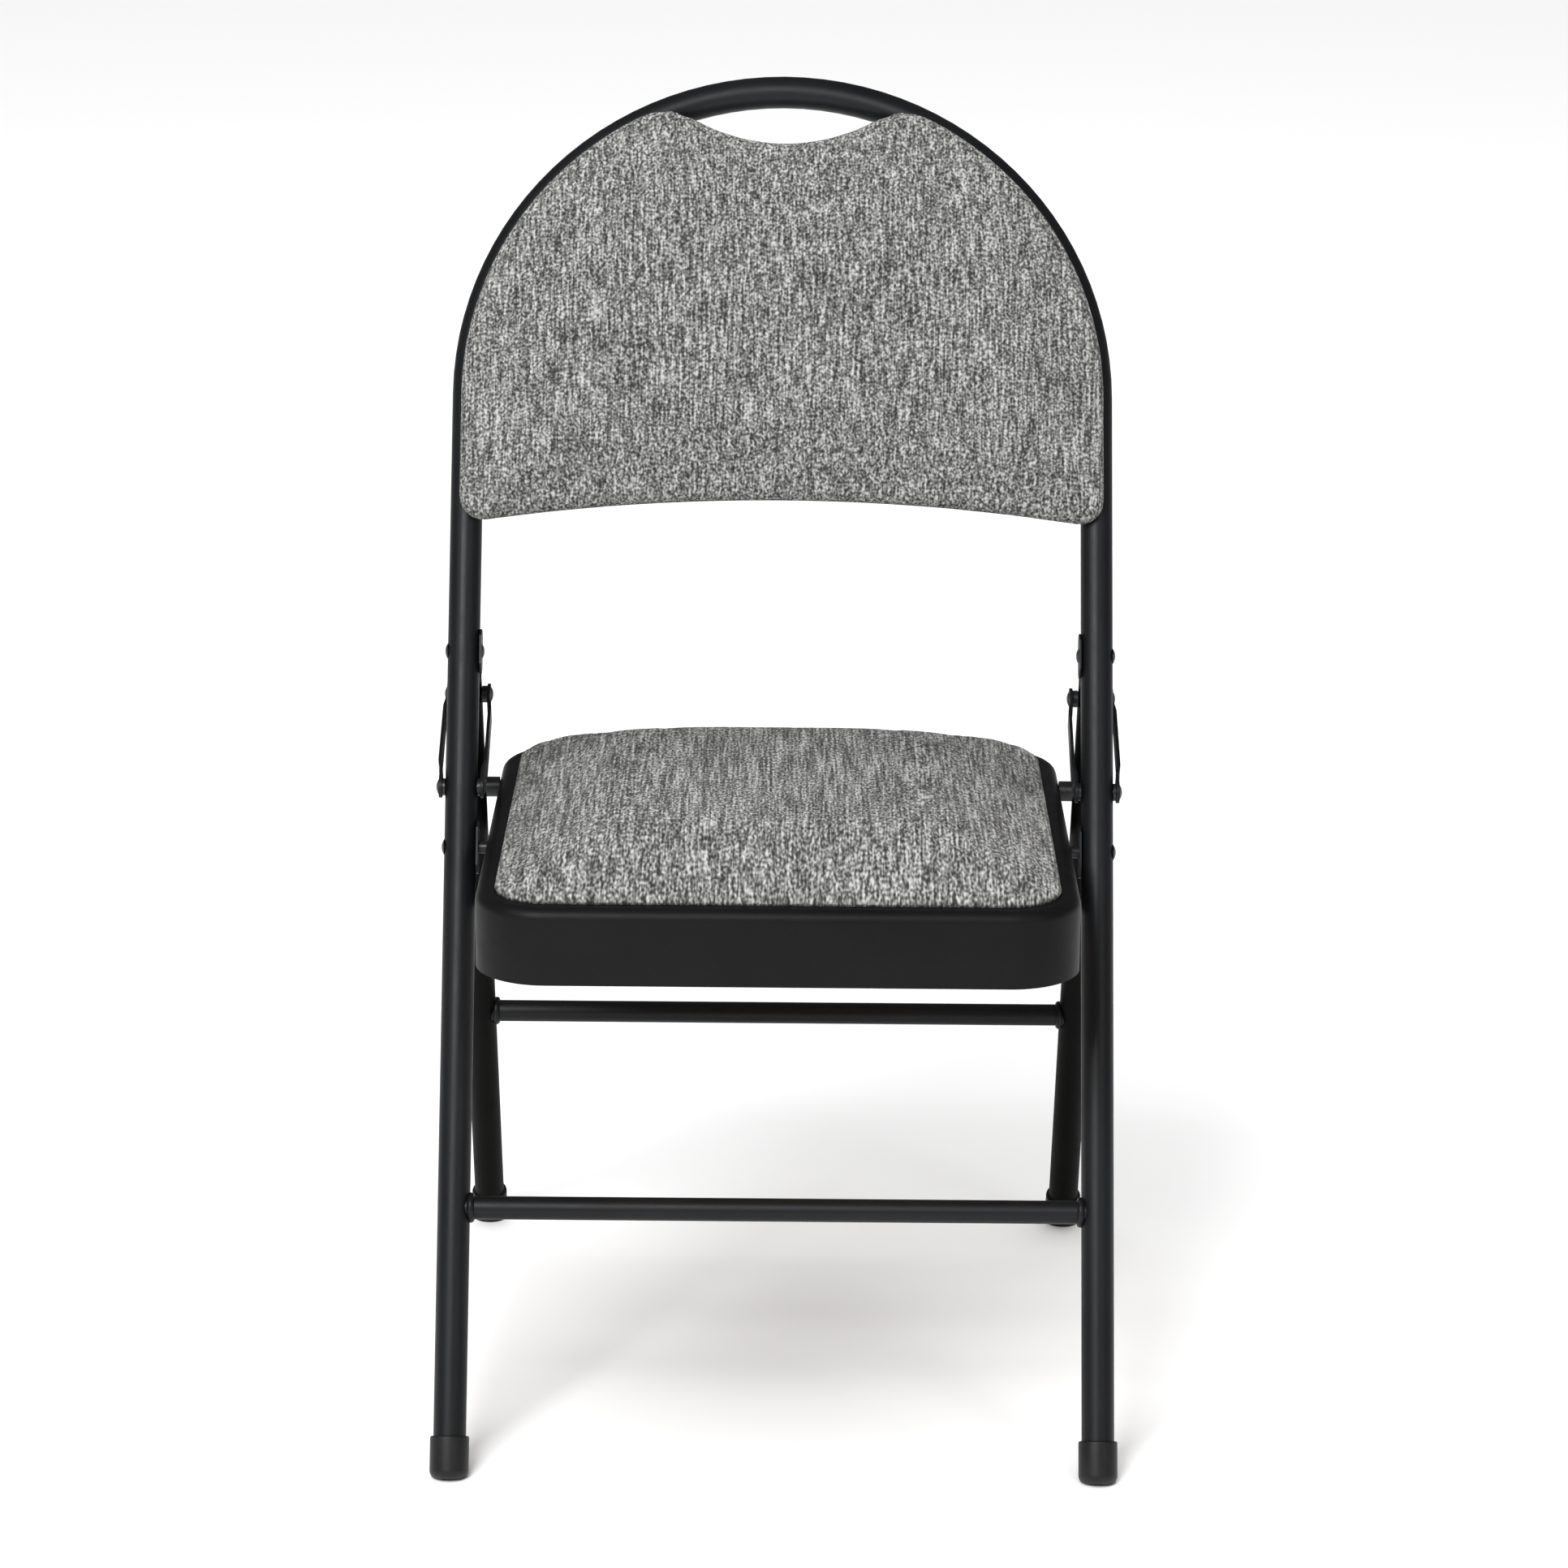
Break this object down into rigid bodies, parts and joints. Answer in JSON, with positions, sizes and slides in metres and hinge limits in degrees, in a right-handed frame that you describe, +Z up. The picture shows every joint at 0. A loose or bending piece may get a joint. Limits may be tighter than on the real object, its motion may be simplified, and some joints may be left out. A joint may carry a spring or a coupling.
{
  "type": "folding chair",
  "caption": "Folding chair: bent-tube frame with an arched top, padded fabric seat and back, and rear legs that fold on side links.",
  "frame": {"origin": "on the floor, midway between the front and the rear feet, on the chair's middle plane", "axes": "+Z up, +X across the chair, +Y from the front towards the back"},
  "size_m": [0.473, 0.5105, 0.8929],
  "materials": {
    "frame_paint": "satin black powder coat",
    "pan_paint": "satin black powder coat",
    "rivet_steel": "black oxide",
    "rubber": "matte",
    "fabric": "grey heather weave",
    "lining": "plain black lining",
    "plywood": "raw",
    "screw_steel": "zinc"
  },
  "bodies": {
    "front_frame": {"front_frame": "frame_paint", "front_crossbar": "frame_paint", "front_foot_cap_left": "rubber", "front_foot_cap_right": "rubber", "back_board": "plywood", "back_cushion": "fabric", "back_rear_cover": "lining", "back_screws": "rivet_steel", "stop_plates": "frame_paint", "stop_rivets": "rivet_steel", "seat_pivot_plates": "frame_paint", "seat_pivot_rivets": "rivet_steel", "link_frame_rivets": "rivet_steel", "link_frame_spacers": "rivet_steel"},
    "seat": {"seat_pan": "pan_paint", "seat_board": "plywood", "seat_cushion": "fabric", "seat_screws": "screw_steel", "seat_pivot_sleeves": "rivet_steel", "leg_pivot_rivets": "rivet_steel", "leg_pivot_spacers": "rivet_steel"},
    "rear_legs": {"rear_leg_left": "frame_paint", "rear_leg_right": "frame_paint", "rear_leg_plugs": "rubber", "rear_crossbar": "frame_paint", "rear_foot_cap_left": "rubber", "rear_foot_cap_right": "rubber", "leg_link_pins": "rivet_steel", "leg_link_spacers": "rivet_steel"},
    "links": {"outer_link_left": "frame_paint", "outer_link_right": "frame_paint", "inner_link_left": "frame_paint", "inner_link_right": "frame_paint", "leg_link_heads": "rivet_steel"}
  },
  "joints": [
    {"name": "seat_fold", "type": "hinge", "parent": "front_frame", "child": "seat", "pos_m": [0, -0.06753, 0.3913], "axis": [-1, 0, 0], "range_deg": [0, 103]},
    {"name": "rear_leg_fold", "type": "hinge", "parent": "seat", "child": "rear_legs", "pos_m": [0, 0.07155, 0.395], "axis": [1, 0, 0], "range_deg": [0, 55.4]},
    {"name": "link_fold", "type": "hinge", "parent": "front_frame", "child": "links", "pos_m": [0, -0.05028, 0.4294], "axis": [-1, 0, 0], "range_deg": [0, 122.6]}
  ],
  "couplings": [
    {"joint": "rear_leg_fold", "follows": "seat_fold", "ratio": 0.533},
    {"joint": "link_fold", "follows": "seat_fold", "ratio": 1.185}
  ]
}
